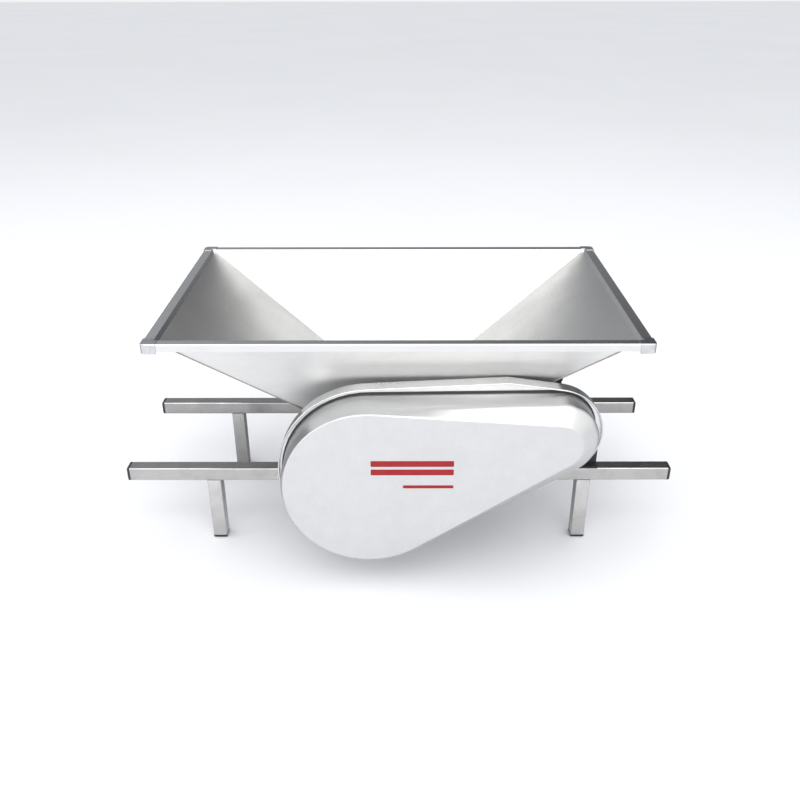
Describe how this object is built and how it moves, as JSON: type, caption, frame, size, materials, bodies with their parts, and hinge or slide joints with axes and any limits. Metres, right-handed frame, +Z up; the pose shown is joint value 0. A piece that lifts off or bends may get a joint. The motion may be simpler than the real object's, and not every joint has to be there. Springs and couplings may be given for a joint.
{
  "type": "grape crusher",
  "caption": "Motor-driven stainless grape crusher: a wide hopper over a pair of fluted rollers on two rails that lie across a vat, with a covered belt drive.",
  "frame": {"origin": "on the floor under the feet, midway between the two rails and midway along them, below the middle of the hopper", "axes": "+X to the right along the rails, +Y to the back away from the belt cover, +Z up"},
  "size_m": [1.18, 0.648, 0.533],
  "materials": {
    "tube_steel": "drawn stainless tube, lightly ground",
    "black_plastic": "moulded black plastic",
    "hopper_sheet": "satin stainless sheet",
    "corner_steel": "pressed stainless cap",
    "cast_aluminium": "cast, machined faces",
    "bracket_steel": "dark coated sheet",
    "bush_nylon": "machined nylon",
    "fastener_steel": "stainless fastener",
    "shaft_steel": "ground bar",
    "roller_rubber": "food-grade moulded rubber",
    "gear_iron": "machined teeth",
    "pulley_aluminium": "turned casting",
    "cover_sheet": "fine satin stainless sheet",
    "belt_rubber": "wrapped V-belt",
    "motor_aluminium": "die-cast, sprayed grey",
    "winding_copper": "varnished winding",
    "motor_cover_paint": "sprayed grey sheet",
    "rotor_steel": "laminated core",
    "switch_plastic": "moulded dark grey",
    "start_green": "moulded",
    "stop_red": "moulded"
  },
  "bodies": {
    "frame": {"front_rail": "tube_steel", "rear_rail": "tube_steel", "legs": "tube_steel", "rail_end_caps": "black_plastic", "foot_caps": "black_plastic", "hopper_front_wall": "hopper_sheet", "hopper_rear_wall": "hopper_sheet", "hopper_left_wall": "hopper_sheet", "hopper_right_wall": "hopper_sheet", "rim_frame": "hopper_sheet", "rim_corner_caps": "corner_steel", "box_front_plate": "hopper_sheet", "box_rear_plate": "hopper_sheet", "box_left_plate": "hopper_sheet", "box_right_plate": "hopper_sheet", "bearing_housings": "cast_aluminium", "outboard_plate": "bracket_steel", "outboard_housing": "cast_aluminium", "shaft_bushes": "bush_nylon", "housing_bolts": "fastener_steel", "gear_guard": "cover_sheet", "guard_screws": "fastener_steel", "v_belt": "belt_rubber", "motor_bracket": "bracket_steel", "motor_front_shield": "motor_aluminium", "motor_housing": "motor_aluminium", "motor_rear_shield": "motor_aluminium", "motor_bearings": "shaft_steel", "motor_stator": "winding_copper", "motor_fan_cover": "motor_cover_paint", "motor_bolts": "fastener_steel", "switch_box": "switch_plastic", "switch_box_lid": "switch_plastic", "switch_box_screws": "fastener_steel", "cable_gland": "black_plastic", "cover_back_pan": "cover_sheet", "cover_front_shell": "cover_sheet", "cover_bar": "bracket_steel", "cover_standoff": "fastener_steel", "cover_bolts": "fastener_steel", "cover_tabs": "bracket_steel", "cover_screws": "fastener_steel"},
    "driven_roller_train": {"driven_shaft": "shaft_steel", "driven_roller": "roller_rubber", "driven_thrust_washers": "bush_nylon", "driven_gear": "gear_iron", "driven_collar": "fastener_steel", "large_pulley": "pulley_aluminium", "pulley_fastener": "fastener_steel"},
    "idler_roller_train": {"idler_shaft": "shaft_steel", "idler_roller": "roller_rubber", "idler_thrust_washers": "bush_nylon", "idler_gear": "gear_iron", "idler_collar": "fastener_steel"},
    "motor_rotor_train": {"motor_shaft": "shaft_steel", "motor_rotor": "rotor_steel", "motor_pulley": "pulley_aluminium", "motor_fan": "black_plastic"},
    "start_button_cap": {"start_button": "start_green"},
    "stop_button_cap": {"stop_button": "stop_red"}
  },
  "joints": [
    {"name": "driven_roller_spin", "type": "hinge", "parent": "frame", "child": "driven_roller_train", "pos_m": [-0.059, 0, 0.215], "axis": [0, 1, 0], "continuous": true},
    {"name": "idler_roller_spin", "type": "hinge", "parent": "frame", "child": "idler_roller_train", "pos_m": [0.059, 0, 0.215], "axis": [0, 1, 0], "continuous": true},
    {"name": "motor_spin", "type": "hinge", "parent": "frame", "child": "motor_rotor_train", "pos_m": [0.297, 0, 0.29], "axis": [0, 1, 0], "continuous": true},
    {"name": "start_press", "type": "slide", "parent": "frame", "child": "start_button_cap", "axis": [-1, 0, 0], "range_m": [0, 0.003], "stiffness_N_per_m": 400},
    {"name": "stop_press", "type": "slide", "parent": "frame", "child": "stop_button_cap", "axis": [-1, 0, 0], "range_m": [0, 0.003], "stiffness_N_per_m": 400}
  ],
  "couplings": [
    {"joint": "idler_roller_spin", "follows": "driven_roller_spin", "ratio": -1},
    {"joint": "motor_spin", "follows": "driven_roller_spin", "ratio": 5.1852}
  ]
}
